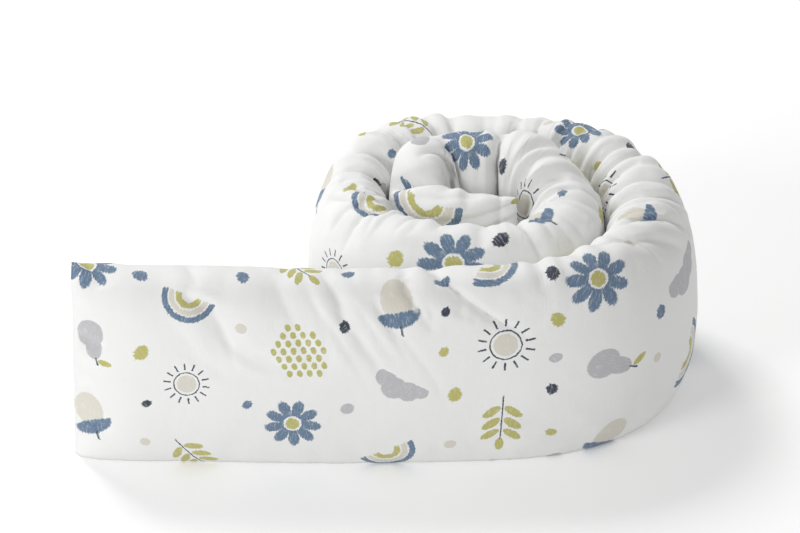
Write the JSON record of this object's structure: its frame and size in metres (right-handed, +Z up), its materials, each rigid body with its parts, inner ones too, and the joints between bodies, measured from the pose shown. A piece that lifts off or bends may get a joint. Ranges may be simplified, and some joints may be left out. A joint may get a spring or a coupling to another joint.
{
  "type": "crib bumper",
  "caption": "Crib bumper: one long stuffed tube of printed cotton on its long edge, wound into a loose spiral with its outer end laid out straight.",
  "frame": {"origin": "middle of the whole part's box, on the floor that it stands on", "axes": "+Z up, +X from the laid-out end towards the spiral, +Y away from the viewer of the laid-out end's front"},
  "size_m": [0.6382, 0.4154, 0.2377],
  "materials": {
    "cotton": "matte printed cotton"
  },
  "bodies": {
    "root": {"bumper": "cotton"}
  },
  "joints": []
}
